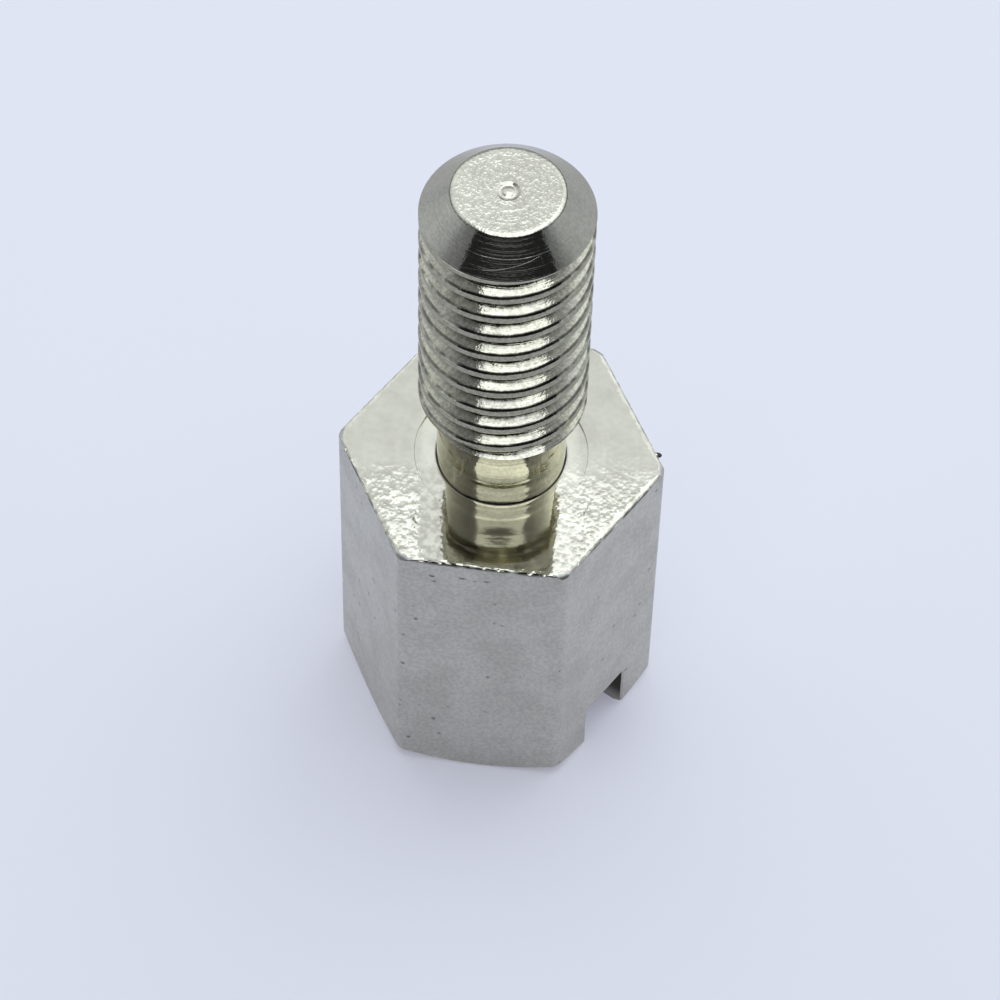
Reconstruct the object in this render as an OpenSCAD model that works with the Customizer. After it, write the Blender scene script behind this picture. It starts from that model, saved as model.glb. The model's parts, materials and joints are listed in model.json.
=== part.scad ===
// Hexagonal standoff turned from one piece of hexagon bar: a threaded stud on
// top of a hexagonal body, and a tapped hole with a screwdriver slot below.
// Millimetres, +Z up the axis. The foot face stands on Z = 0, and the slot runs
// along X, through two opposite flats.

/* [Hexagon body] */
// Width across the flats of the hexagon
across_flats = 5; // [4:0.1:8]
// Length of the hexagon, from the foot face to the shoulder
hex_length = 6.35; // [6:0.05:20]
// How far the turned chamfer reaches in from the corners at the foot
foot_chamfer = 0.5; // [0.1:0.05:0.6]
// How far the turned chamfer reaches in from the corners at the shoulder
shoulder_chamfer = 0.14; // [0.05:0.01:0.4]
// Angle of both chamfers, measured from the end face
chamfer_angle = 30; // [15:5:45]

/* [Stud] */
// Length of the stud, from the shoulder to the tip
stud_length = 7.05; // [4:0.05:20]
// Outside diameter of the stud's thread
thread_d = 2.9; // [2.6:0.05:4]
// Diameter of the relief neck under the thread
neck_d = 2.25; // [1.8:0.05:2.5]
// Length of the relief neck, up to the end of the thread
neck_length = 1.6; // [0.5:0.05:2.5]
// Radius of the fillet between the neck and the shoulder
neck_fillet = 0.1; // [0.05:0.05:0.3]
// Depth of the turned relief in the shoulder, round the neck
relief_depth = 0.03; // [0.02:0.01:0.1]
// How far the relief reaches out past the thread, so a seated panel clears it
seat_clearance = 0.06; // [0.05:0.01:0.3]
// Distance from one turn of the thread to the next
thread_pitch = 0.5; // [0.35:0.05:0.8]
// Diameter at the bottom of the thread's grooves
thread_root_d = 2.4; // [2.2:0.05:2.8]
// Width of the flat on top of each ridge of the thread
thread_crest = 0.16; // [0.05:0.01:0.2]
// Distance from the tip down to the middle of the first groove
thread_runout = 0.795; // [0.7:0.005:1.2]
// Height and depth of the bevel where the thread begins above the neck
thread_lead = 0.1; // [0.05:0.05:0.3]
// Height and depth of the 45 degree chamfer at the tip
tip_chamfer = 0.5; // [0.2:0.05:0.8]

/* [Tapped hole] */
// Diameter of the hole, at the crests of its thread
hole_d = 2.5; // [2:0.05:3]
// Depth of the hole, without the drill's point
hole_depth = 4.5; // [2:0.1:5]
// Angle of the drill's point
drill_angle = 118; // [90:1:140]
// Diameter of the countersink at the hole's mouth
countersink_d = 3.3; // [3.1:0.05:3.5]

/* [Screwdriver slot] */
// Width of the slot
slot_width = 1.1; // [0.6:0.1:1.6]
// Depth of the slot, from the foot face
slot_depth = 1.1; // [0.5:0.1:1.6]

/* [Hidden] */
$fn = 96;
corner_r = across_flats / sqrt(3);
total_length = hex_length + stud_length;
thread_start = hex_length + neck_length;
neck_base = hex_length - relief_depth;
thread_slope = tan(30); // the sides of the thread's grooves lean by 30 degrees
stud_root = 0.4; // how deep the stud's profile reaches into the hexagon
past = 1; // how far a cutter runs past the face that it cuts

// The solid that a lathe leaves: everything inside both turned chamfers.
module turned_envelope() {
    foot_r = corner_r - foot_chamfer;
    shoulder_r = corner_r - shoulder_chamfer;
    outer_r = corner_r + past;
    rise = tan(chamfer_angle);
    rotate_extrude()
        polygon([
            [0, 0],
            [foot_r, 0],
            [outer_r, (outer_r - foot_r) * rise],
            [outer_r, hex_length - (outer_r - shoulder_r) * rise],
            [shoulder_r, hex_length],
            [0, hex_length]
        ]);
}

// The hexagon, with two of its flats square to X, its corners chamfered and the
// shallow relief turned into its shoulder.
module hexagon_body() {
    difference() {
        intersection() {
            rotate([0, 0, 30]) cylinder(r = corner_r, h = hex_length, $fn = 6);
            turned_envelope();
        }
        translate([0, 0, neck_base])
            cylinder(r = thread_d / 2 + seat_clearance, h = relief_depth + past);
    }
}

// The thread's grooves in section. They are rings with the thread's form and
// spacing, where the real groove winds.
module thread_grooves() {
    root_r = min(thread_root_d, thread_d - 0.1) / 2;
    depth = thread_d / 2 - root_r;
    root_half = max(0.01, (thread_pitch - thread_crest) / 2 - depth * thread_slope);
    mouth = depth + thread_crest / 4;
    mouth_half = root_half + mouth * thread_slope;
    lowest = thread_start + thread_pitch / 4;
    for (z = [total_length - thread_runout : -thread_pitch : lowest])
        translate([root_r, z])
            polygon([[0, -root_half], [mouth, -mouth_half], [mouth, mouth_half], [0, root_half]]);
}

// The stud as it is turned: neck, thread and tip.
module stud() {
    neck_r = neck_d / 2;
    thread_r = thread_d / 2;
    lead = min(thread_lead, thread_r - neck_r);
    rotate_extrude()
        difference() {
            polygon([
                [0, neck_base - stud_root],
                [neck_r + neck_fillet, neck_base - stud_root],
                [neck_r + neck_fillet, neck_base + neck_fillet],
                [neck_r, neck_base + neck_fillet],
                [neck_r, thread_start],
                [thread_r - lead, thread_start],
                [thread_r, thread_start + lead],
                [thread_r, total_length - tip_chamfer],
                [thread_r - tip_chamfer, total_length],
                [0, total_length]
            ]);
            translate([neck_r + neck_fillet, neck_base + neck_fillet])
                circle(r = neck_fillet);
            thread_grooves();
        }
}

// The tapped hole as drilled, with the drill's point and the countersink.
module drilled_hole() {
    hole_r = hole_d / 2;
    mouth_r = countersink_d / 2;
    rotate_extrude()
        polygon([
            [0, -past],
            [mouth_r + past, -past],
            [hole_r, mouth_r - hole_r],
            [hole_r, hole_depth],
            [0, hole_depth + hole_r / tan(drill_angle / 2)]
        ]);
}

// The slot for a screwdriver, right across the foot face.
module screwdriver_slot() {
    slot_length = across_flats + 2 * past;
    translate([-slot_length / 2, -slot_width / 2, -past])
        cube([slot_length, slot_width, slot_depth + past]);
}

module hex_standoff() {
    color([0.78, 0.77, 0.72])
        difference() {
            union() {
                hexagon_body();
                stud();
            }
            drilled_hole();
            screwdriver_slot();
        }
}

hex_standoff();
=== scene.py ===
# %% [markdown]
# # Hex standoff
# A standoff holds a circuit board a fixed height above a panel. This one is
# turned from hexagon bar: a threaded stud on top, a tapped hole below, and a
# slot across the foot for a screwdriver. All of it is nickel plated.
#
# It could be built from a cylinder here and a box there, but a machined part
# looks right when its shape is cut the way the machine cuts it. So it is made
# in the lathe's order: bar, turning, threading, drilling, slotting, deburring.

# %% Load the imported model
import json
import math

import bmesh
import bpy
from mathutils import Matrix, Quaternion, Vector

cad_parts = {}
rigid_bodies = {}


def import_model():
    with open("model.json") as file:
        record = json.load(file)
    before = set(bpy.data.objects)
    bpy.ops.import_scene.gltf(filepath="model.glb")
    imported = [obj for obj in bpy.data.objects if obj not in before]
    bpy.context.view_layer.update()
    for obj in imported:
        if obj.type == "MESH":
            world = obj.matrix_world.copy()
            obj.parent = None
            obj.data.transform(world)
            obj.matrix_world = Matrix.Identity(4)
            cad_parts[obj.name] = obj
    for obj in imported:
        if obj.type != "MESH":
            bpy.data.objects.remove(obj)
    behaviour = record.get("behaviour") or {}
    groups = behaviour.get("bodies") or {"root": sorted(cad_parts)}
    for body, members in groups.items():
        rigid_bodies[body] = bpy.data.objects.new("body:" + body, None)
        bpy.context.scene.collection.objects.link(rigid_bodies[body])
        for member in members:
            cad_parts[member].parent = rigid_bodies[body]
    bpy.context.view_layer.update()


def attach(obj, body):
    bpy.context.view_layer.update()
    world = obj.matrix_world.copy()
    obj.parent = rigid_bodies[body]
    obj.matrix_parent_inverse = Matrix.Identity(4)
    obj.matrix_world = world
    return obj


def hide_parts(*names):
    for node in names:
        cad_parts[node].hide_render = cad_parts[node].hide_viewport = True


bpy.ops.object.select_all(action="SELECT")
bpy.ops.object.delete()
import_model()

# %% [markdown]
# ## Sizes
# Blender's edit tools merge points and measure bevels with limits of about a
# millionth of a unit. A part of 13 mm is only 0.013 units long in metres, so
# its smallest edges would come close to them. It is therefore modelled with
# one unit for a millimetre, and shrunk to metres once it is finished.

# %% Sizes in millimetres, heights measured from the foot
ACROSS_FLATS = 5.0
CORNER_R = ACROSS_FLATS / math.sqrt(3)
SHOULDER_Z = 6.35
TIP_Z = 13.4
FOOT_R = CORNER_R - 0.5
SHOULDER_R = CORNER_R - 0.14
CHAMFER_SLOPE = math.tan(math.radians(30))
NECK_R = 1.125
RELIEF_R = 1.51
RELIEF_Z = SHOULDER_Z - 0.03
THREAD_R = 1.45
THREAD_ROOT_R = 1.2
THREAD_START_Z = 7.95
PITCH = 0.5
HOLE_R = 1.25
HOLE_DEPTH = 4.5
SLOT_HALF = 0.55
SLOT_DEPTH = 1.1
TO_METRES = 0.001

# %% [markdown]
# ## Helpers
# An operator acts on everything that is selected, and loading the model
# leaves its pieces selected. So each step starts by selecting one piece
# alone, and faces or edges are then picked by where they are.

# %% Select one piece, or a choice of its edges and faces
def pick(piece):
    if bpy.context.mode != "OBJECT":
        bpy.ops.object.mode_set(mode="OBJECT")
    bpy.ops.object.select_all(action="DESELECT")
    piece.select_set(True)
    bpy.context.view_layer.objects.active = piece


def edit(piece, mode="VERT"):
    pick(piece)
    bpy.ops.object.mode_set(mode="EDIT")
    bpy.ops.mesh.select_mode(type=mode)
    bpy.ops.mesh.select_all(action="DESELECT")


def choose(kind, test):
    """Selects the edges or faces in edit mode whose middle passes the test."""
    mesh = bmesh.from_edit_mesh(bpy.context.object.data)
    count = 0
    for part in getattr(mesh, kind):
        points = [v.co for v in part.verts]
        middle = sum(points, Vector()) / len(points)
        if test(part, middle):
            part.select_set(True)
            count += 1
    bmesh.update_edit_mesh(bpy.context.object.data)
    return count


def done():
    bpy.ops.object.mode_set(mode="OBJECT")
    return bpy.context.object


# %% [markdown]
# A lathe's shapes are all profiles turned about the axis. A profile is drawn
# as by hand: one point, extruded again and again into a chain of edges.

# %% Draw a profile and turn it
def draw_profile(name, points):
    bpy.ops.object.select_all(action="DESELECT")
    bpy.ops.mesh.primitive_plane_add(size=0.1, location=(points[0][0], 0, points[0][1]))
    bpy.context.object.name = name
    bpy.ops.object.transform_apply(location=True, rotation=True, scale=True)
    edit(bpy.context.object)
    bpy.ops.mesh.select_all(action="SELECT")
    bpy.ops.mesh.merge(type="CENTER")
    for (x0, z0), (x1, z1) in zip(points, points[1:]):
        move = {"value": (x1 - x0, 0, z1 - z0)}
        bpy.ops.mesh.extrude_region_move(TRANSFORM_OT_translate=move)
    return done()


def close_up(piece):
    """Merges seams and poles, and turns every face outwards."""
    edit(piece)
    bpy.ops.mesh.select_all(action="SELECT")
    bpy.ops.mesh.remove_doubles(threshold=1e-4)
    bpy.ops.mesh.normals_make_consistent(inside=False)
    return done()


def turn_profile(name, points, steps):
    piece = draw_profile(name, points)
    edit(piece)
    bpy.ops.mesh.select_all(action="SELECT")
    bpy.ops.mesh.spin(steps=steps, angle=math.tau, center=(0, 0, 0), axis=(0, 0, 1))
    done()
    return close_up(piece)


def arc(x, z, radius, start, end, count):
    """Points on a rounded corner, its angles in degrees from +X to +Z."""
    angles = [math.radians(start + (end - start) * i / count) for i in range(count + 1)]
    return [(x + radius * math.cos(a), z + radius * math.sin(a)) for a in angles]


# %% Combine two closed pieces, and count what is open
def combine(piece, tool, how):
    modifier = piece.modifiers.new(how.lower(), "BOOLEAN")
    modifier.operation = how
    modifier.solver = "EXACT"
    modifier.object = tool
    pick(piece)
    bpy.ops.object.modifier_apply(modifier=modifier.name)
    bpy.data.objects.remove(tool)
    return piece


def measure(piece):
    mesh = bmesh.new()
    mesh.from_mesh(piece.data)
    loose = [e for e in mesh.edges if not e.is_manifold]
    size = [round(s, 3) for s in piece.dimensions]
    triangles = sum(len(f.verts) - 2 for f in mesh.faces)
    print(piece.name, triangles, "triangles,", len(loose), "open edges, size", size,
          "volume", round(mesh.calc_volume(), 3))
    for e in loose[:6]:
        print("   open", [tuple(round(c, 4) for c in v.co) for v in e.verts], len(e.link_faces))
    mesh.free()


# %% [markdown]
# ## Hexagon bar
# The bar is drawn through a die, so its six corners are a little soft. At the
# shoulder, deburring and plating roll its edge over by a few degrees before
# it turns down. A six-sided cylinder gets all of this from Inset and Bevel
# while its mesh is still simple. A narrower column goes up from its top, so
# that the bar covers the stud as well. The rim is then cut into short lengths
# and shaken a little, since deburring leaves no edge quite straight.

# %% Hexagon bar with soft corners and a rolled edge
ROLL_WIDTH = 0.15
ROLL_DROP = 0.022
BAR_TOP = SHOULDER_Z - 0.012
BAR_BOTTOM = -0.6
RIM_CUTS = 44
RIM_SHAKE = 0.007
RIM_SOFTNESS = 0.04
CORNER_SOFTNESS = 0.1
COLUMN_SHARE = 0.85  # of the bar's width
COLUMN_HEIGHT = 8
bpy.ops.object.select_all(action="DESELECT")
bpy.ops.mesh.primitive_cylinder_add(
    vertices=6, radius=CORNER_R, depth=BAR_TOP - BAR_BOTTOM,
    location=(0, 0, (BAR_TOP + BAR_BOTTOM) / 2))
bar = bpy.context.object
bar.name = "bar"
bpy.ops.object.transform_apply(location=True, rotation=True, scale=True)
print("first corner at", [round(c, 3) for c in bar.data.vertices[0].co])

edit(bar, "EDGE")
choose("edges", lambda e, m: abs(e.verts[0].co.z - e.verts[1].co.z) > 1)
bpy.ops.mesh.bevel(offset=CORNER_SOFTNESS, segments=5, affect="EDGES")
bpy.ops.mesh.select_all(action="DESELECT")
bpy.ops.mesh.select_mode(type="FACE")
choose("faces", lambda f, m: f.normal.z > 0.9)
bpy.ops.mesh.inset(thickness=ROLL_WIDTH, depth=ROLL_DROP)
bpy.ops.mesh.select_mode(type="EDGE")
bpy.ops.mesh.select_all(action="DESELECT")
print(choose("edges", lambda e, m: abs(m.z - BAR_TOP) < 1e-4), "rim edges")
bpy.ops.mesh.bevel(offset=RIM_SOFTNESS, segments=7, affect="EDGES")
bpy.ops.mesh.select_mode(type="FACE")
bpy.ops.mesh.select_all(action="DESELECT")
choose("faces", lambda f, m: f.normal.z > 0.9 and len(f.verts) > 4)
bpy.ops.mesh.extrude_region_move()
bpy.ops.transform.resize(value=(COLUMN_SHARE, COLUMN_SHARE, 1),
                         center_override=(0, 0, SHOULDER_Z))
bpy.ops.mesh.extrude_region_move(TRANSFORM_OT_translate={"value": (0, 0, COLUMN_HEIGHT)})
bpy.ops.mesh.select_mode(type="EDGE")
bpy.ops.mesh.select_all(action="DESELECT")
choose("edges", lambda e, m: abs(m.z - BAR_TOP) < 0.05 and e.calc_length() > 1)
bpy.ops.mesh.subdivide(number_cuts=RIM_CUTS)
bpy.ops.mesh.select_all(action="DESELECT")
shaken = choose("edges", lambda e, m: all(abs(v.co.z - BAR_TOP) < 0.045 for v in e.verts))
bpy.ops.transform.vertex_random(offset=RIM_SHAKE, seed=4)
done()
print(shaken, "rim edges shaken")
close_up(bar)
measure(bar)

# %% [markdown]
# A barrel finish leaves its marks on the shoulder's edge: small nicks where
# parts knocked together, and pits in the front face just below it. Each is a
# small ball, squashed and turned outwards, that is cut from the bar.

# %% Nicks in the rim, and pits below it
def pebble(place, radius, stretch, turn):
    bpy.ops.object.select_all(action="DESELECT")
    bpy.ops.mesh.primitive_ico_sphere_add(subdivisions=2, radius=radius, location=place)
    ball = bpy.context.object
    edit(ball)
    bpy.ops.mesh.select_all(action="SELECT")
    bpy.ops.transform.resize(value=stretch, center_override=place)
    bpy.ops.transform.rotate(value=-turn, orient_axis="Z", center_override=place)
    done()
    bpy.ops.object.transform_apply(location=True, rotation=True, scale=True)
    return ball


def pebbles(places):
    """One object from many balls, so that they can be cut or joined at once."""
    balls = [pebble((x, y, z), radius, stretch, math.atan2(y, x))
             for x, y, z, radius, stretch in places]
    bpy.ops.object.select_all(action="DESELECT")
    for ball in balls:
        ball.select_set(True)
    bpy.ops.object.join()
    return bpy.context.object


RIM = SHOULDER_Z
NICKS = [  # x, y, z, radius, stretch outwards, along the edge and upwards
    (2.53, -0.44, RIM, 0.050, (1.5, 2.2, 0.8)), (2.52, 0.66, RIM, 0.040, (1.5, 2.6, 0.8)),
    (2.51, -0.75, RIM, 0.036, (1.5, 1.6, 0.8)), (2.51, -1.07, RIM, 0.040, (1.5, 1.0, 0.8)),
    (0.66, -2.53, RIM, 0.034, (1.5, 1.3, 0.8)), (1.32, -2.15, RIM, 0.034, (1.5, 1.4, 0.8)),
    (1.66, -1.97, RIM, 0.030, (1.5, 1.6, 0.8)), (2.12, -1.70, RIM, 0.034, (1.5, 1.3, 0.8)),
    (-1.74, -1.90, RIM, 0.034, (1.5, 1.4, 0.8)), (-1.18, -2.23, RIM, 0.034, (1.5, 2.0, 0.8)),
    (-2.20, -1.63, RIM, 0.030, (1.5, 1.6, 0.8)), (-0.62, -2.55, RIM, 0.036, (1.5, 1.8, 0.8)),
    (0.54, -2.60, 5.96, 0.080, (0.5, 1.0, 0.8)), (0.80, -2.45, 5.93, 0.062, (0.5, 0.9, 0.8)),
    (0.98, -2.34, 5.98, 0.070, (0.5, 1.2, 0.7)), (1.16, -2.24, 5.95, 0.060, (0.5, 0.9, 0.9)),
    (1.33, -2.14, 5.97, 0.068, (0.5, 1.3, 0.7)), (0.57, -2.58, 5.80, 0.062, (0.5, 1.1, 0.8))]
combine(bar, pebbles(NICKS), "DIFFERENCE")
measure(bar)

# %% [markdown]
# ## Turned shape
# Everything else on the outside is turned: the chamfers at foot and shoulder,
# a shallow relief round the neck, the neck with its fillet, the thread's
# blank and the tip with the small pip that the tool leaves at the centre.
# It is one profile, spun, and what both the bar and this shape hold is the
# part as it comes off the lathe. The neck widens by 0.04 mm towards the
# thread, and so darkens the upper end of its own image in the shoulder.
#
# Smooth shading blends the light across a face from its corners. An extra
# point close beside each rounded corner keeps that blend narrow, so that the
# cone and the flat beyond it stay true.

# %% Turned profile
EDGE_R = CORNER_R + 0.4
BLANK_R = THREAD_R + 0.02
CONE_SUM = TIP_Z + 0.92  # radius and height add up to this all along the tip's cone
TIP_ROUND = 0.12
NECK_FILLET = 0.025
TIP_FLAT_R = CONE_SUM - TIP_Z + TIP_ROUND * (1 - math.sqrt(2))
profile = [
    (0, 0), (FOOT_R, 0), (EDGE_R, (EDGE_R - FOOT_R) * CHAMFER_SLOPE),
    (EDGE_R, SHOULDER_Z - 1.25)]
profile += arc(SHOULDER_R, SHOULDER_Z - 0.12, 0.12, 20, 90, 6)
profile += [
    (SHOULDER_R - 0.04, SHOULDER_Z), (RELIEF_R + 0.02, SHOULDER_Z), (RELIEF_R + 0.006, SHOULDER_Z),
    (RELIEF_R, SHOULDER_Z - 0.006), (RELIEF_R, RELIEF_Z), (RELIEF_R - 0.02, RELIEF_Z),
    (NECK_R + NECK_FILLET + 0.02, RELIEF_Z)]
profile += arc(NECK_R + NECK_FILLET, RELIEF_Z + NECK_FILLET, NECK_FILLET, 270, 180, 7)
profile += [
    (NECK_R, RELIEF_Z + 0.10), (NECK_R, RELIEF_Z + 0.76), (NECK_R + 0.002, RELIEF_Z + 0.80),
    (NECK_R + 0.006, RELIEF_Z + 0.85), (NECK_R + 0.035, RELIEF_Z + 1.16),
    (NECK_R + 0.040, THREAD_START_Z - 0.02), (NECK_R + 0.06, THREAD_START_Z),
    (THREAD_R - 0.1, THREAD_START_Z), (BLANK_R, THREAD_START_Z + 0.12),
    (BLANK_R, CONE_SUM - BLANK_R), (TIP_FLAT_R + 0.07, CONE_SUM - TIP_FLAT_R - 0.07)]
profile += arc(TIP_FLAT_R, TIP_Z - TIP_ROUND, TIP_ROUND, 45, 90, 4)
profile += [
    (TIP_FLAT_R - 0.03, TIP_Z), (0.24, TIP_Z), (0.205, TIP_Z), (0.187, TIP_Z - 0.007),
    (0.157, TIP_Z - 0.024), (0.132, TIP_Z - 0.029), (0.108, TIP_Z - 0.023),
    (0.084, TIP_Z - 0.010), (0.054, TIP_Z - 0.002), (0, TIP_Z)]
standoff = turn_profile("standoff", profile, 192)
measure(standoff)
combine(standoff, bar, "INTERSECT")

# %% [markdown]
# The knocks that make nicks also push specks of metal up along the edge, and
# one stands out beside a corner as a burr. They are balls again, but joined,
# and only after the turning: where the turned edge would have cut across a
# ball, the boolean sometimes gave back nothing at all.

# %% Burrs on the rim
BURRS = [  # in the same form as the nicks
    (2.150, 1.645, 6.290, 0.055, (1.8, 1.0, 0.9)), (0.61, -2.505, 6.320, 0.040, (1, 1, 0.6)),
    (1.49, -2.01, 6.320, 0.040, (1.2, 1, 0.6)), (1.96, -1.74, 6.320, 0.042, (1, 1.3, 0.6)),
    (1.27, -2.13, 6.320, 0.036, (1, 1.2, 0.6)), (2.17, -1.61, 6.320, 0.036, (1, 1, 0.6)),
    (-2.16, -1.63, 6.320, 0.040, (1, 1, 0.6)), (-1.93, -1.74, 6.325, 0.034, (1, 1.3, 0.6)),
    (-1.30, -2.11, 6.320, 0.036, (1, 1.1, 0.6))]
combine(standoff, pebbles(BURRS), "UNION")
measure(standoff)

# %% [markdown]
# The chamfer at the foot meets each flat in an arc. A tool never leaves such
# an edge quite sharp, and the plating rounds it further, so the arcs get a
# narrow bevel. They are found by their place: on a flat, near the foot, and
# between a face that points down and one that doesn't.

# %% Soften the arcs at the foot
def steepness(edge):
    return sorted(f.normal.z for f in edge.link_faces)


edit(standoff, "EDGE")
count = choose("edges", lambda e, m: m.z < 0.4 and math.hypot(m.x, m.y) > 2.45
               and steepness(e)[0] < -0.5 and steepness(e)[1] > -0.3)
bpy.ops.mesh.bevel(offset=0.02, segments=4, affect="EDGES", clamp_overlap=True)
done()
print(count, "arc edges softened")
measure(standoff)

# %% [markdown]
# ## Thread
# The stud has an M3 thread, half a millimetre from turn to turn. One pitch of
# its profile is drawn, and the Screw modifier winds it up the axis, each turn
# closing on the one below. The crests are flat, as the blank left them.

# %% One pitch of a thread's profile, with rounded corners
FLANK = math.tan(math.radians(30))  # a flank's width for its depth


def thread_profile(root, crest, crest_flat, bottom, root_round, crest_round):
    flank = (crest - root) * FLANK
    root_flat = PITCH - crest_flat - 2 * flank
    corners = [
        (root, 0), (root, root_flat / 2), (crest, root_flat / 2 + flank),
        (crest, root_flat / 2 + flank + crest_flat), (root, PITCH - root_flat / 2), (root, PITCH)]
    points = [corners[0]]
    for before, at, after in zip(corners, corners[1:], corners[2:]):
        reach, count = crest_round if at[0] == crest else root_round
        reach = min(reach, 0.42 * math.dist(before, at), 0.42 * math.dist(at, after))
        start, end = (
            [a + (b - a) * reach / math.dist(at, other) for a, b in zip(at, other)]
            for other in (before, after))
        for t in (i / count for i in range(count + 1)):
            points.append(tuple(
                (1 - t) ** 2 * a + 2 * t * (1 - t) * b + t ** 2 * c
                for a, b, c in zip(start, at, end)))
    points.append(corners[-1])
    return [(r, z + bottom) for r, z in points]


# %% Wind a profile into a rod, and cut its ends flat
def wind(name, profile, turns, steps, low, high):
    piece = draw_profile(name, profile)
    screw = piece.modifiers.new("screw", "SCREW")
    screw.axis = "Z"
    screw.angle = math.tau
    screw.screw_offset = PITCH
    screw.iterations = turns
    screw.steps = screw.render_steps = steps
    screw.use_merge_vertices = False
    pick(piece)
    bpy.ops.object.modifier_apply(modifier=screw.name)
    close_up(piece)
    for height, above in ((low, False), (high, True)):
        edit(piece)
        bpy.ops.mesh.select_all(action="SELECT")
        bpy.ops.mesh.bisect(plane_co=(0, 0, height), plane_no=(0, 0, 1), use_fill=True,
                            clear_inner=not above, clear_outer=above, threshold=1e-5)
        done()
    return close_up(piece)


# %% Stud's thread, on a collar that clears the rest
CREST_FLAT = 0.16
CREST_EDGE_Z = 12.8496  # lower edge of a crest over +X
ROOT_ROUND = (0.045, 3)  # how far the rounding reaches, and its steps
CREST_ROUND = (0.052, 6)
TURNS = 13
STEPS = 128  # in each turn
COLLAR_SHARE = 2.9  # of the thread's width
COLLAR_DEPTH = 9
flank_width = (THREAD_R - THREAD_ROOT_R) * FLANK
root_half = (PITCH - CREST_FLAT - 2 * flank_width) / 2
thread_bottom = CREST_EDGE_Z - root_half - flank_width - 11 * PITCH
COLLAR_Z = 7.76
outside = thread_profile(THREAD_ROOT_R, THREAD_R, CREST_FLAT, thread_bottom,
                         ROOT_ROUND, CREST_ROUND)
rod = wind("rod", outside, TURNS, STEPS, COLLAR_Z, TIP_Z + 0.2)
edit(rod, "FACE")
choose("faces", lambda f, m: abs(m.z - COLLAR_Z) < 1e-4)
bpy.ops.mesh.extrude_region_move()
bpy.ops.transform.resize(value=(COLLAR_SHARE, COLLAR_SHARE, 1),
                         center_override=(0, 0, COLLAR_Z))
bpy.ops.mesh.extrude_region_move(TRANSFORM_OT_translate={"value": (0, 0, -COLLAR_DEPTH)})
done()
close_up(rod)
measure(rod)

# %% [markdown]
# The thread's first turn runs out on the chamfer at the tip. A plain cone, a
# thousandth of a mm under the chamfer, fills the rod there, so that next to
# nothing is left of the groove.

# %% Fill the groove under the chamfer
RUN_OUT = 0.001  # radius and height together, under the chamfer's own sum
CONE_FOOT_Z = CONE_SUM - RUN_OUT - THREAD_R
filler = turn_profile("filler", [
    (0, CONE_FOOT_Z - 0.29), (1.1, CONE_FOOT_Z - 0.29), (THREAD_R - 0.005, CONE_FOOT_Z - 0.015),
    (THREAD_R, CONE_FOOT_Z), (THREAD_R - 0.95, CONE_FOOT_Z + 0.95), (0, CONE_FOOT_Z + 0.96)], 192)
combine(rod, filler, "UNION")
combine(standoff, rod, "INTERSECT")
measure(standoff)

# %% [markdown]
# ## Hole and slot
# The foot is drilled with a pointed drill, countersunk and tapped. The tap is
# another wound rod, a little slimmer than the hole between its ridges, so
# that only the ridges cut. The slot's cutter is flared towards its mouths,
# which leaves the narrow bevel of a deburred edge.

# %% Drill
DRILL_ANGLE = 118
DRILL_POINT = HOLE_R / math.tan(math.radians(DRILL_ANGLE / 2))
MOUTH_R = 1.65
drill = turn_profile("drill", [
    (0, -1), (MOUTH_R + 1, -1), (HOLE_R + 0.03, MOUTH_R - HOLE_R - 0.03),
    (HOLE_R, MOUTH_R - HOLE_R + 0.03), (HOLE_R, HOLE_DEPTH - 0.02), (HOLE_R - 0.02, HOLE_DEPTH),
    (0, HOLE_DEPTH + DRILL_POINT)], 128)
combine(standoff, drill, "DIFFERENCE")

# %% Tap
TAP_R = 1.5
TAP_DEPTH = 4.02
inside = thread_profile(HOLE_R - 0.02, TAP_R, 0.07, -0.9, (0.012, 2), (0.012, 3))
tap = wind("tap", inside, 10, 96, -0.3, TAP_DEPTH)
combine(standoff, tap, "DIFFERENCE")
measure(standoff)

# %% Slot
FLAT_R = ACROSS_FLATS / 2
MOUTH = 0.03
bpy.ops.object.select_all(action="DESELECT")
bpy.ops.mesh.primitive_cube_add(size=1, location=(0, 0, (SLOT_DEPTH - 1) / 2))
cutter = bpy.context.object
cutter.name = "slot_cutter"
bpy.ops.transform.resize(value=(2 * (FLAT_R - MOUTH), 2 * SLOT_HALF, SLOT_DEPTH + 1))
bpy.ops.object.transform_apply(location=True, rotation=True, scale=True)
edit(cutter, "EDGE")
choose("edges", lambda e, m: abs(m.y) > SLOT_HALF - 0.01 and m.z > SLOT_DEPTH - 0.01)
bpy.ops.mesh.bevel(offset=0.04, segments=3, affect="EDGES")
bpy.ops.mesh.select_mode(type="FACE")
for side in (-1, 1):
    bpy.ops.mesh.select_all(action="DESELECT")
    choose("faces", lambda f, m: f.normal.x * side > 0.9)
    bpy.ops.mesh.extrude_region_move(TRANSFORM_OT_translate={"value": (side * 0.5, 0, 0)})
    bpy.ops.transform.resize(value=(1, (SLOT_HALF + 0.5) / SLOT_HALF, 1.5),
                             center_override=(0, 0, SLOT_DEPTH - 1))
done()
close_up(cutter)
combine(standoff, cutter, "DIFFERENCE")
measure(standoff)

# %% [markdown]
# ## Finish the mesh
# Curved faces are shaded smooth and edges above the angle stay crisp. The
# angle is small, because a thread's flank and the cone at the tip are only 15
# degrees apart and must not blend. The Weighted Normal modifier then lets
# large faces win over the narrow bevels beside them, so that flats reflect as
# flats.

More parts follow.
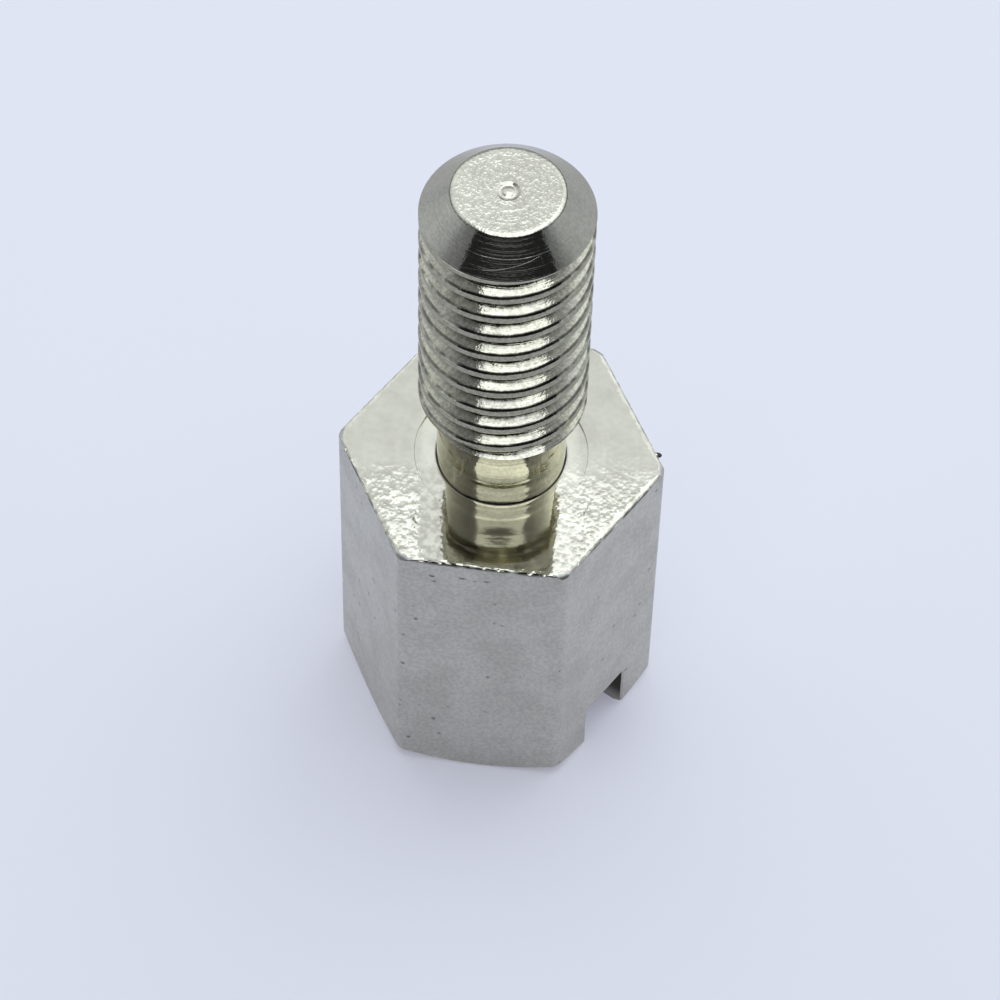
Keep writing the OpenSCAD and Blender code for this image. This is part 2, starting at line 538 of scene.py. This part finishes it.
# %% Smooth, shrink to metres and weight the normals
SMOOTH_ANGLE = math.radians(14.3)
standoff.data.name = "standoff"
edit(standoff)
bpy.ops.mesh.select_all(action="SELECT")
bpy.ops.mesh.remove_doubles(threshold=2e-5)
done()
bpy.ops.transform.resize(value=(TO_METRES,) * 3, center_override=(0, 0, 0))
bpy.ops.object.transform_apply(location=True, rotation=True, scale=True)
bpy.ops.object.shade_smooth_by_angle(angle=SMOOTH_ANGLE)
edit(standoff, "EDGE")
creases = choose("edges", lambda e, m: abs(m.z / TO_METRES - SHOULDER_Z) < 1e-3
                 and math.hypot(m.x, m.y) / TO_METRES > 2.2 and len(e.link_faces) == 2
                 and steepness(e)[1] > 0.9999 and steepness(e)[0] < 0.9995)
bpy.ops.mesh.mark_sharp()
done()
print(creases, "crease edges kept sharp")
weighted = standoff.modifiers.new("weighted", "WEIGHTED_NORMAL")
weighted.keep_sharp = True
bpy.ops.object.modifier_apply(modifier=weighted.name)
measure(standoff)

# %% [markdown]
# ## Nickel
# The plating is one metal, but each tool left its own skin on it. The drawn
# bar is matt and mottled, the turned faces carry fine rings and the grain of
# the brass, and the thread is nearly polished. These skins are made from a
# few shared effects, each a node group, so that a change to one of them
# reaches every finish.

# %% Place a node and fill its inputs
def place(tree, kind, inputs=None, **settings):
    node = tree.nodes.new(kind)
    for name, value in settings.items():
        setattr(node, name, value)
    for key, value in (inputs or {}).items():
        if isinstance(value, bpy.types.NodeSocket):
            tree.links.new(value, node.inputs[key])
        else:
            node.inputs[key].default_value = value
    return node


def new_group(name, inputs, outputs):
    tree = bpy.data.node_groups.new(name, "ShaderNodeTree")
    for title, value in inputs.items():
        socket = tree.interface.new_socket(title, in_out="INPUT", socket_type="NodeSocketFloat")
        socket.default_value = value
    for title in outputs:
        tree.interface.new_socket(title, in_out="OUTPUT", socket_type="NodeSocketFloat")
    return tree, tree.nodes.new("NodeGroupInput"), tree.nodes.new("NodeGroupOutput")


def millimetres(tree):
    """Object coordinates in millimetres, the scale that the finishes are known in."""
    coordinate = tree.nodes.new("ShaderNodeTexCoord")
    return place(tree, "ShaderNodeVectorMath", {0: coordinate.outputs["Object"], "Scale": 1000.0},
                 operation="SCALE").outputs["Vector"]


def maths(tree, how, *values):
    return place(tree, "ShaderNodeMath", dict(enumerate(values)), operation=how).outputs[0]


def noise(tree, vector, scale, detail=2.0, roughness=0.5, dimensions="3D", distortion=0.0):
    inputs = {"Scale": scale, "Detail": detail, "Roughness": roughness, "Distortion": distortion}
    inputs["W" if dimensions == "1D" else "Vector"] = vector
    return place(tree, "ShaderNodeTexNoise", inputs, noise_dimensions=dimensions).outputs["Fac"]


def ramp(tree, value, low, high):
    """Rises from 0 to 1 between low and high, with soft ends."""
    return place(tree, "ShaderNodeMapRange", {"Value": value, "From Min": low, "From Max": high},
                 interpolation_type="SMOOTHSTEP").outputs["Result"]


def round_the_axis(tree, point):
    """How far a point lies from the part's axis, and how high."""
    axes = place(tree, "ShaderNodeSeparateXYZ", {0: point}).outputs
    flat = place(tree, "ShaderNodeCombineXYZ", {"X": axes["X"], "Y": axes["Y"]})
    radius = place(tree, "ShaderNodeVectorMath", {0: flat.outputs[0]}, operation="LENGTH")
    return radius.outputs["Value"], axes["Z"]


# %% [markdown]
# Turning marks are rings. On a flat face they lie at one radius, on a
# cylinder at one height, and on a cone both change. The radius less the
# height grows across all three, so one value spaces the rings everywhere.

# %% Effect: turning marks
turning_marks, given, result = new_group(
    "turning_marks", {"Spacing": 0.05, "Wobble": 0.02}, ["Height", "Mask", "Radius"])
point = millimetres(turning_marks)
radius, height = round_the_axis(turning_marks, point)
along = maths(turning_marks, "SUBTRACT", radius, height)
drift = maths(turning_marks, "MULTIPLY", noise(turning_marks, point, 1.4), given.outputs["Wobble"])
along = maths(turning_marks, "ADD", along, drift)
steps_along = maths(turning_marks, "DIVIDE", along, given.outputs["Spacing"])
rings = noise(turning_marks, steps_along, 1.0, detail=2.0, dimensions="1D")
turning_marks.links.new(rings, result.inputs["Height"])
turning_marks.links.new(radius, result.inputs["Radius"])
turning_marks.links.new(ramp(turning_marks, rings, 0.56, 0.72), result.inputs["Mask"])

# %% [markdown]
# Grain is the fine unevenness of the plated metal. It breaks a reflection
# into sparkle. Two sizes together look less regular than one.

# %% Effect: grain
GRAIN_MEAN = 0.9  # of both noises together, so that the height is even about 0
grain, given, result = new_group("grain", {"Size": 0.06}, ["Height", "Mask"])
point = millimetres(grain)
scale = maths(grain, "DIVIDE", 1.0, given.outputs["Size"])
fine = noise(grain, point, scale, detail=1.5, roughness=0.6)
coarse = noise(grain, point, maths(grain, "MULTIPLY", scale, 0.31), detail=1.0)
both = maths(grain, "ADD", fine, maths(grain, "MULTIPLY", coarse, 0.8))
grain.links.new(maths(grain, "SUBTRACT", both, GRAIN_MEAN), result.inputs["Height"])
grain.links.new(ramp(grain, fine, 0.35, 0.65), result.inputs["Mask"])

# %% [markdown]
# The shoulder is rough in two patches, one on each side of a calm strip. They
# are found by how far a point lies in front of the stud's middle, and how far
# to the side. Height is 1 on the strip, which bends the stud's image there.
# The strip points straight at the camera, as a reflection does and a real
# mark has no reason to. It may be no mark at all: the dark mottling kept to
# the patches is painted reflection, laid out from the camera's direction,
# and isn't to be trusted from any other side.

# %% Effect: patches of painted reflection
PATCH_AZIMUTH = math.radians(-53.7)  # the camera's own direction
reflection_patches, given, result = new_group("reflection_patches", {"Half Strip": 0.90}, ["Mask", "Height"])
point = millimetres(reflection_patches)
ahead = place(reflection_patches, "ShaderNodeVectorMath", {
    0: point, 1: (math.cos(PATCH_AZIMUTH), math.sin(PATCH_AZIMUTH), 0)}, operation="DOT_PRODUCT")
aside = place(reflection_patches, "ShaderNodeVectorMath", {
    0: point, 1: (-math.sin(PATCH_AZIMUTH), math.cos(PATCH_AZIMUTH), 0)}, operation="DOT_PRODUCT")
off_strip = maths(reflection_patches, "DIVIDE", maths(reflection_patches, "ABSOLUTE", aside.outputs["Value"]),
                  given.outputs["Half Strip"])
drift = maths(reflection_patches, "MULTIPLY", noise(reflection_patches, point, 1.6), 0.8)
ahead = maths(reflection_patches, "ADD", ahead.outputs["Value"], drift)
reflection_patches.links.new(maths(reflection_patches, "SUBTRACT", 1.0, ramp(reflection_patches, off_strip, 0.95, 1.60)),
                 result.inputs["Height"])
reflection_patches.links.new(maths(reflection_patches, "MULTIPLY", ramp(reflection_patches, off_strip, 0.95, 1.15),
                       ramp(reflection_patches, ahead, 0.5, 1.5)), result.inputs["Mask"])

# %% [markdown]
# Blotches are patches where the nickel is a little duller or warmer, as on
# any part that was plated in a barrel with a thousand others. Specks are pits
# that stayed dark.

# %% Effect: blotches and specks
SPECK_SCALE = 3.2
blotches, given, result = new_group(
    "blotches", {"Size": 0.8, "Speck Size": 0.05}, ["Mask", "Specks"])
point = millimetres(blotches)
patch = noise(blotches, point, maths(blotches, "DIVIDE", 1.0, given.outputs["Size"]), detail=3.0)
blotches.links.new(ramp(blotches, patch, 0.38, 0.64), result.inputs["Mask"])
cells = place(blotches, "ShaderNodeTexVoronoi", {
    "Vector": point, "Scale": SPECK_SCALE, "Randomness": 1.0})
inside_speck = maths(blotches, "DIVIDE", cells.outputs["Distance"],
                     maths(blotches, "MULTIPLY", given.outputs["Speck Size"], SPECK_SCALE))
speck = maths(blotches, "SUBTRACT", 1.0, ramp(blotches, inside_speck, 0.4, 1.1))
some = ramp(blotches, noise(blotches, point, 0.9, detail=1.0), 0.48, 0.6)
blotches.links.new(maths(blotches, "MULTIPLY", speck, some), result.inputs["Specks"])

# %% [markdown]
# Painted shade on the thread: its root is darker, where shade falls, and a
# broken dark line runs along each crest's corners. The crests get a darker
# colour of their own, which stands in for the dim floor that they mirror.

# %% Effect: painted shade on the thread
thread_shade, given, result = new_group(
    "thread_shade", {"Unshaded Radius": 1.38, "Root Radius": 1.25}, ["Mask", "Crest", "Edge"])
point = millimetres(thread_shade)
radius, height = round_the_axis(thread_shade, point)
depth = place(thread_shade, "ShaderNodeMapRange", {
    "Value": radius, "From Min": given.outputs["Unshaded Radius"],
    "From Max": given.outputs["Root Radius"]}, interpolation_type="SMOOTHSTEP").outputs["Result"]
uneven = ramp(thread_shade, noise(thread_shade, point, 4.0, detail=3.0), 0.3, 0.6)
thread_shade.links.new(maths(thread_shade, "MULTIPLY", depth, uneven), result.inputs["Mask"])
crest = ramp(thread_shade, radius, THREAD_R - 0.010, THREAD_R - 0.003)
corner = maths(thread_shade, "SUBTRACT", ramp(thread_shade, radius, THREAD_R - 0.055, THREAD_R - 0.035), crest)
thread_shade.links.new(crest, result.inputs["Crest"])
thread_shade.links.new(maths(thread_shade, "MULTIPLY", corner, uneven), result.inputs["Edge"])

# %% [markdown]
# Painted shade: a broken dark line round the body, just below the rolled
# edge. It fades out before the corners.

# %% Effect: painted shade under the rim
under_rim_shade, given, result = new_group("under_rim_shade", {"Strength": 0.6}, ["Mask"])
point = millimetres(under_rim_shade)
radius, height = round_the_axis(under_rim_shade, point)
band = maths(under_rim_shade, "SUBTRACT", ramp(under_rim_shade, height, SHOULDER_Z - 0.10, SHOULDER_Z - 0.05),
             ramp(under_rim_shade, height, SHOULDER_Z - 0.035, SHOULDER_Z - 0.01))
between_corners = maths(under_rim_shade, "SUBTRACT", ramp(under_rim_shade, radius, 2.3, 2.4),
                        ramp(under_rim_shade, radius, 2.64, 2.72))
band = maths(under_rim_shade, "MULTIPLY", band, between_corners)
broken = ramp(under_rim_shade, noise(under_rim_shade, point, 3.0, detail=3.0), 0.36, 0.56)
band = maths(under_rim_shade, "MULTIPLY", band, broken)
under_rim_shade.links.new(maths(under_rim_shade, "MULTIPLY", band, given.outputs["Strength"]),
                   result.inputs["Mask"])

# %% [markdown]
# A last pair of masks paints shade: the crease where the neck meets the
# shoulder is dark, and so is everything with the bore's finish from half a
# millimetre above the foot upwards: the slot, lighter near its mouth, the
# hole and the burr.

# %% Effect: painted shade in the crease and the slot
crease_and_slot_shade, given, result = new_group("crease_and_slot_shade", {"Crease Width": 0.03}, ["Crease", "Slot"])
point = millimetres(crease_and_slot_shade)
radius, height = round_the_axis(crease_and_slot_shade, point)
from_neck = maths(crease_and_slot_shade, "SUBTRACT", radius, NECK_R)
from_relief = maths(crease_and_slot_shade, "SUBTRACT", height, RELIEF_Z)
corner = maths(crease_and_slot_shade, "DIVIDE", maths(crease_and_slot_shade, "MAXIMUM", from_neck, from_relief),
               given.outputs["Crease Width"])
crease_and_slot_shade.links.new(maths(crease_and_slot_shade, "SUBTRACT", 1.0, ramp(crease_and_slot_shade, corner, 0.5, 1.1)), result.inputs["Crease"])
crease_and_slot_shade.links.new(ramp(crease_and_slot_shade, height, 0.05, 0.5), result.inputs["Slot"])

# %% [markdown]
# Every finish is the same recipe with its own amounts: a clean colour and a
# dull one mixed by the blotches, a darker one painted as shade, a roughness
# that varies with the same masks, and two bumps, rings over grain.
# The shoulder has two more: it falls away slowly from the neck, and its strip
# stands up as a low ridge. All these heights are in thousandths of a mm.

# %% One recipe for every finish
NICKEL = (0.68, 0.66, 0.53)
THREAD_NICKEL = (0.70, 0.685, 0.52)
DULL_NICKEL = (0.60, 0.58, 0.465)
CONE_NICKEL = (0.46, 0.445, 0.375)
DULL_CONE_NICKEL = (0.43, 0.42, 0.35)
# Painted shade: the crests' darker colour stands in for the dim floor that they mirror.
SHADED_CREST_NICKEL = (0.41, 0.40, 0.315)
DRAWN_NICKEL = (0.56, 0.55, 0.49)
DULL_DRAWN_NICKEL = (0.51, 0.50, 0.445)
BORE_NICKEL = (0.42, 0.41, 0.37)
DULL_BORE_NICKEL = (0.34, 0.33, 0.29)
DARK = (0.05, 0.046, 0.040)
EDGE_TINT = (0.78, 0.77, 0.72)  # how much of a metal's light is left at a glancing angle
NO_TINT = (1, 1, 1)
# Strength of the painted shade along each crest's corners.
CREST_EDGE_SHADE = 0.75
# Strength of the painted shade in the neck's crease and the slot.
PAINTED_SHADE_STRENGTH = 0.95
MICRON = 1e-6


def use(tree, group, **values):
    node = place(tree, "ShaderNodeGroup", node_tree=group)
    for title, value in values.items():
        node.inputs[title.replace("_", " ")].default_value = value
    return node


def blend(tree, mask, first, second):
    node = place(tree, "ShaderNodeMix", {0: mask}, data_type="RGBA")
    for socket, value in ((node.inputs[6], first), (node.inputs[7], second)):
        if isinstance(value, bpy.types.NodeSocket):
            tree.links.new(value, socket)
        else:
            socket.default_value = (*value, 1)
    return node.outputs[2]


def nickel_finish(name, clean, dull, roughness, rough_range, rings, ring_height, grain_size,
                  grain_height, speck_strength=0.0, thread_shade_strength=0.0, under_rim_shade_strength=0.0,
                  mottle=0.0, shade_mask=None, fall=0.0, patchy=0.0, ridge=0.0, edge_tint=EDGE_TINT):
    material = bpy.data.materials.new(name)
    material.use_nodes = True
    tree = material.node_tree
    shader = tree.nodes["Principled BSDF"]
    shader.inputs["Metallic"].default_value = 1
    shader.inputs["Specular Tint"].default_value = (*edge_tint, 1)
    patches = use(tree, blotches)
    colour = blend(tree, patches.outputs["Mask"], clean, dull)
    if speck_strength:
        specks = maths(tree, "MULTIPLY", patches.outputs["Specks"], speck_strength)
        colour = blend(tree, specks, colour, DARK)
    # Painted shade on the thread: a darker root, a dark line along each crest's corners, and darker
    # crests.
    if thread_shade_strength:
        corners = use(tree, thread_shade)
        painted_dark = maths(tree, "MULTIPLY", corners.outputs["Mask"], thread_shade_strength)
        colour = blend(tree, painted_dark, colour, DARK)
        edge_shade = maths(tree, "MULTIPLY", corners.outputs["Edge"], CREST_EDGE_SHADE)
        colour = blend(tree, edge_shade, colour, DARK)
        colour = blend(tree, corners.outputs["Crest"], colour, SHADED_CREST_NICKEL)
    # Painted shade: a broken dark line just below the rolled edge.
    if under_rim_shade_strength:
        line = use(tree, under_rim_shade, Strength=under_rim_shade_strength).outputs["Mask"]
        colour = blend(tree, line, colour, DARK)
    texture = use(tree, grain, Size=grain_size)
    rough, spots = texture.outputs["Height"], texture.outputs["Mask"]
    # Painted reflection: the grain and its dark mottling are kept mostly to two patches, laid out
    # from the camera's direction.
    if patchy:
        share = maths(tree, "MULTIPLY_ADD", use(tree, reflection_patches).outputs["Mask"], patchy, 1 - patchy)
        rough = maths(tree, "MULTIPLY", rough, share)
        spots = maths(tree, "MULTIPLY", spots, share)
    if mottle:
        colour = blend(tree, maths(tree, "MULTIPLY", spots, mottle), colour, DARK)
    # Painted shade, in the neck's crease for one finish and inside the slot and the hole for
    # another.
    if shade_mask:
        painted_dark = maths(tree, "MULTIPLY", use(tree, crease_and_slot_shade).outputs[shade_mask], PAINTED_SHADE_STRENGTH)
        colour = blend(tree, painted_dark, colour, DARK)
    tree.links.new(colour, shader.inputs["Base Color"])
    marks = use(tree, turning_marks, Spacing=rings)
    uneven = maths(tree, "MULTIPLY_ADD", patches.outputs["Mask"], rough_range, roughness)
    uneven = maths(tree, "MULTIPLY_ADD", marks.outputs["Mask"], rough_range, uneven)
    tree.links.new(uneven, shader.inputs["Roughness"])
    grain_bump = place(tree, "ShaderNodeBump", {
        "Height": rough, "Strength": 1.0, "Distance": grain_height * MICRON})
    ring_bump = place(tree, "ShaderNodeBump", {
        "Height": marks.outputs["Height"], "Strength": 1.0, "Distance": ring_height * MICRON,
        "Normal": grain_bump.outputs["Normal"]})
    normal = ring_bump.outputs["Normal"]
    if fall:
        normal = place(tree, "ShaderNodeBump", {
            "Height": marks.outputs["Radius"], "Strength": 1.0, "Distance": fall * MICRON,
            "Normal": normal}, invert=True).outputs["Normal"]
    if ridge:
        normal = place(tree, "ShaderNodeBump", {
            "Height": use(tree, reflection_patches).outputs["Height"], "Strength": 1.0,
            "Distance": ridge * MICRON, "Normal": normal}).outputs["Normal"]
    tree.links.new(normal, shader.inputs["Normal"])
    return material


# %% The finishes
finishes = [
    nickel_finish("turned_nickel", NICKEL, DULL_NICKEL, 0.08, 0.02, 0.16, 0.9, 0.13, 6.5,
                  under_rim_shade_strength=0.8, mottle=0.30, fall=13, patchy=0.87, ridge=54),
    nickel_finish("tip_nickel", NICKEL, DULL_NICKEL, 0.09, 0.02, 0.09, 4.4, 0.06, 6.4,
                  mottle=0.18),
    nickel_finish("drawn_bar_nickel", DRAWN_NICKEL, DULL_DRAWN_NICKEL, 0.36, 0.04,
                  0.10, 0.6, 0.07, 4.0, speck_strength=0.6, under_rim_shade_strength=0.8, mottle=0.16,
                  edge_tint=NO_TINT),
    nickel_finish("thread_nickel", THREAD_NICKEL, DULL_NICKEL, 0.08, 0.03, 0.05, 1.8, 0.06, 2.6,
                  thread_shade_strength=0.7, mottle=0.30),
    nickel_finish("bore_nickel", BORE_NICKEL, DULL_BORE_NICKEL, 0.40, 0.08,
                  0.06, 3.0, 0.06, 4.0, shade_mask="Slot"),
    nickel_finish("neck_nickel", NICKEL, DULL_NICKEL, 0.05, 0.02, 0.3, 8.0, 0.06, 0.5,
                  mottle=0.14, shade_mask="Crease"),
    nickel_finish("cone_nickel", CONE_NICKEL, DULL_CONE_NICKEL, 0.08, 0.02, 0.075, 3.6,
                  0.06, 1.6, mottle=0.14),
]
standoff.data.materials.clear()
for finish in finishes:
    standoff.data.materials.append(finish)
TURNED, TIP, DRAWN, THREADED, BORED, NECK, CONE = range(7)

# %% [markdown]
# The faces take their finish from where they are. The order matters: the
# first line that fits a face decides. The burr is dull like the bore, and the
# pits and the steep facets of the rim keep the bar's own finish.

# %% Give each face its finish
BURR_FLAT = math.radians(60)  # the direction that the burr's flat faces
BODY_R = 2.42
STEEP_RIM_R = 2.68
CORNER_RIM_R = 2.76


def on_thread(n, c, radius):
    outwards = c.x * n.x + c.y * n.y > -1e-3
    below_cone = c.z < CONE_SUM - radius - 0.03
    return c.z > THREAD_START_Z - 0.05 and radius < THREAD_R + 0.01 and outwards and below_cone


def on_burr(c):
    from_axis = c.x * math.cos(BURR_FLAT) + c.y * math.sin(BURR_FLAT)
    return c.z > SHOULDER_Z - 0.15 and from_axis > FLAT_R + 0.012


def on_bar(n, c, radius):
    pitted = SHOULDER_Z - 0.6 < c.z < SHOULDER_Z - 0.3 and radius > 2.3
    steep = abs(n.z) < 0.35 or (radius > STEEP_RIM_R and n.z < 0.8)
    return pitted or (radius > BODY_R and (steep or radius > CORNER_RIM_R))


def in_foot(c, radius):
    in_hole = radius < MOUTH_R + 0.02 and c.z < HOLE_DEPTH + 1
    in_slot = 0.002 < c.z < SLOT_DEPTH + 0.01 and abs(c.y) < SLOT_HALF + 0.04
    return in_hole or in_slot


def finish_of(f):
    n, c = f.normal, f.center / TO_METRES
    radius = math.hypot(c.x, c.y)
    if c.z > TIP_Z - 0.05:
        return TIP
    if c.z > TIP_Z - 0.6 and abs(c.z + radius - CONE_SUM) < 0.02:
        return CONE
    if SHOULDER_Z - 0.1 < c.z < THREAD_START_Z + 0.02 and radius < NECK_R + 0.042:
        return NECK
    if on_thread(n, c, radius):
        return THREADED
    if on_burr(c):
        return BORED
    if on_bar(n, c, radius):
        return DRAWN
    return BORED if in_foot(c, radius) else TURNED


counts = [0] * len(finishes)
for f in standoff.data.polygons:
    f.material_index = finish_of(f)
    counts[f.material_index] += 1
print("faces of each finish:", dict(zip([m.name for m in finishes], counts)))

# %% [markdown]
# ## The frame's facts
# The part has one body, so the piece rides on it, and it stands for the
# plain solid of the CAD model.

# %% The frame's facts
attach(standoff, "root")
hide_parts("hex_standoff")

# %% [markdown]
# ## Studio
# Metal shows what is round it, so most of its look is made here. The part
# stands on a sheet of pale opal plastic, lit a little from below, which keeps
# its shadow soft. The camera looks down at it from close by.

# %% Floor
bpy.ops.object.select_all(action="DESELECT")
bpy.ops.mesh.primitive_plane_add(size=2)
floor = bpy.context.object
floor.name = "floor"
paper = bpy.data.materials.new("opal_sheet")
paper.use_nodes = True
shader = paper.node_tree.nodes["Principled BSDF"]
shader.inputs["Base Color"].default_value = (0.55, 0.56, 0.565, 1)
shader.inputs["Roughness"].default_value = 0.7
shader.inputs["Emission Color"].default_value = (1.0, 1.0, 1.22, 1)
shader.inputs["Emission Strength"].default_value = 0.235
floor.data.materials.append(paper)

# %% Camera
CAMERA_AZIMUTH = math.radians(-53.683)
CAMERA_ROLL = math.radians(1.6056)
aim = Vector((0.6204, -0.8381, 6.35)) * TO_METRES
eye = Vector((25.5597, -34.7677, 65.0288)) * TO_METRES
camera_data = bpy.data.cameras.new("camera")
camera_data.lens = 150.639
camera_data.sensor_width = 36
camera_data.clip_start = 0.001
camera = bpy.data.objects.new("camera", camera_data)
bpy.context.scene.collection.objects.link(camera)
camera.location = eye
camera.rotation_mode = "QUATERNION"
look = (aim - eye).to_track_quat("-Z", "Y")
camera.rotation_quaternion = look @ Quaternion((0, 0, 1), CAMERA_ROLL)
bpy.context.scene.camera = camera

# %% Directions seen from the part
scene = bpy.context.scene
scene.view_settings.view_transform = "Standard"
towards = Vector((math.cos(CAMERA_AZIMUTH), math.sin(CAMERA_AZIMUTH), 0))
across = Vector((-towards.y, towards.x, 0))

# %% [markdown]
# One wide ceiling panel lights the part from above. It is what the sloping
# faces mirror as white, and its edges are the crisp sides of the highlights.

# %% Ceiling panel
LIGHT_TINT = (0.945, 1.0, 1.12)
PANEL_Z = 0.30
PANEL_CORNERS = [  # towards the camera and across, in heights of the panel
    (-0.655, -0.15), (-0.73, 0.45), (0.80, 0.57), (0.80, -0.55)]
PANEL_STRENGTH = 1.9
bpy.ops.object.select_all(action="DESELECT")
bpy.ops.mesh.primitive_circle_add(vertices=4, radius=1, fill_type="NGON")
panel = bpy.context.object
panel.name = "ceiling_panel"
for v, (t, a) in zip(panel.data.vertices, PANEL_CORNERS):
    v.co = (towards * t + across * a + Vector((0, 0, 1))) * PANEL_Z
light = bpy.data.materials.new("ceiling_light")
light.use_nodes = True
shader = light.node_tree.nodes["Principled BSDF"]
shader.inputs["Base Color"].default_value = (0, 0, 0, 1)
shader.inputs["Emission Strength"].default_value = PANEL_STRENGTH
panel.data.materials.append(light)

# %% [markdown]
# The panel fades towards its front edge. The neck mirrors that dimmer edge,
# and the thread the bright middle.

# %% Fade the panel's front edge
FADE_FROM, FADE_TO = 0.72 * PANEL_Z, 0.80 * PANEL_Z
DIMMEST = 0.52
panel_tree = light.node_tree
spot = panel_tree.nodes.new("ShaderNodeTexCoord").outputs["Object"]
middle = (towards * -0.15 + Vector((0, 0, 1))) * PANEL_Z
reach = place(panel_tree, "ShaderNodeVectorMath", {0: spot, 1: middle}, operation="DISTANCE")
fade = place(panel_tree, "ShaderNodeMapRange", {
    "Value": reach.outputs["Value"], "From Min": FADE_FROM, "From Max": FADE_TO,
    "To Min": 1.0, "To Max": DIMMEST}, interpolation_type="SMOOTHSTEP")
glow = place(panel_tree, "ShaderNodeVectorMath",
             {0: LIGHT_TINT, "Scale": fade.outputs["Result"]}, operation="SCALE")
panel_tree.links.new(glow.outputs["Vector"], shader.inputs["Emission Color"])

# %% [markdown]
# A black card stands in front of the part, below the lens. Studios often use
# one to give bright metal its dark edges: the faces that lean towards the
# camera mirror the card instead of the room.

# %% Black card
CARD_R = 0.04
CARD_TOP = 0.0465
CARD_SIDES = (-55, 60)
bpy.ops.object.select_all(action="DESELECT")
bpy.ops.mesh.primitive_cylinder_add(
    vertices=120, radius=CARD_R, depth=CARD_TOP, end_fill_type="NOTHING",
    location=(0, 0, CARD_TOP / 2 + 0.0002))
card = bpy.context.object
card.name = "black_card"
bpy.ops.object.transform_apply(location=True, rotation=True, scale=True)
edit(card, "FACE")
choose("faces", lambda f, m: not CARD_SIDES[0] < math.degrees(
    math.atan2(m.dot(across), m.dot(towards))) < CARD_SIDES[1])
bpy.ops.mesh.delete(type="FACE")
done()
card.visible_camera = False
black = bpy.data.materials.new("black_card")
black.use_nodes = True
shader = black.node_tree.nodes["Principled BSDF"]
shader.inputs["Base Color"].default_value = (0.02, 0.02, 0.02, 1)
shader.inputs["Roughness"].default_value = 0.9
card.data.materials.append(black)

# %% [markdown]
# The rest of the room is a soft world: brightest high up behind the part,
# and dim in front of it, where the camera and its holder stand.

# %% Room
world = bpy.data.worlds.new("studio")
scene.world = world
world.use_nodes = True
tree = world.node_tree
background = tree.nodes["Background"]
direction = tree.nodes.new("ShaderNodeTexCoord").outputs["Generated"]


def aimed(azimuth, elevation):
    """A direction from the part, its azimuth measured from the camera's side."""
    a, e = math.radians(azimuth), math.radians(elevation)
    flat = towards * math.cos(a) + across * math.sin(a)
    return flat * math.cos(e) + Vector((0, 0, math.sin(e)))


def facing(centre, stops, tint=(1, 1, 1)):
    """A glow whose strength depends on the angle to its centre."""
    dot = place(tree, "ShaderNodeVectorMath", {0: direction, 1: centre}, operation="DOT_PRODUCT")
    glow = place(tree, "ShaderNodeValToRGB", {"Fac": dot.outputs["Value"]})
    elements = glow.color_ramp.elements
    elements.remove(elements[1])
    elements[0].position = stops[0][0]
    for position, value in stops:
        element = elements[0] if position == stops[0][0] else elements.new(position)
        element.color = (*(value * t for t in tint), 1)
    return glow.outputs["Color"]


glows = [
    facing(aimed(165, 60), [(0.0, 0.55), (0.3, 0.40), (0.56, 0.40), (0.75, 0.56), (0.86, 0.76),
                            (0.95, 0.98)], LIGHT_TINT),
    facing(aimed(0, 30), [(0.3, 1.0), (0.7, 0.5)]),
    facing(aimed(125, 5), [(0.5, 0.62), (0.9, 1.18)]),
    facing(aimed(-130, 5), [(0.5, 0.70), (0.9, 1.32)]),
    facing(aimed(88, 50), [(0.85, 1.0), (0.97, 1.35)]),
    facing(aimed(180, 8), [(0.9, 1.0), (0.98, 0.5)])]
colour = glows[0]
for glow in glows[1:]:
    product = place(tree, "ShaderNodeMix", {0: 1.0, 6: colour, 7: glow},
                    data_type="RGBA", blend_type="MULTIPLY")
    colour = product.outputs[2]
tree.links.new(colour, background.inputs["Color"])
background.inputs["Strength"].default_value = 2.3
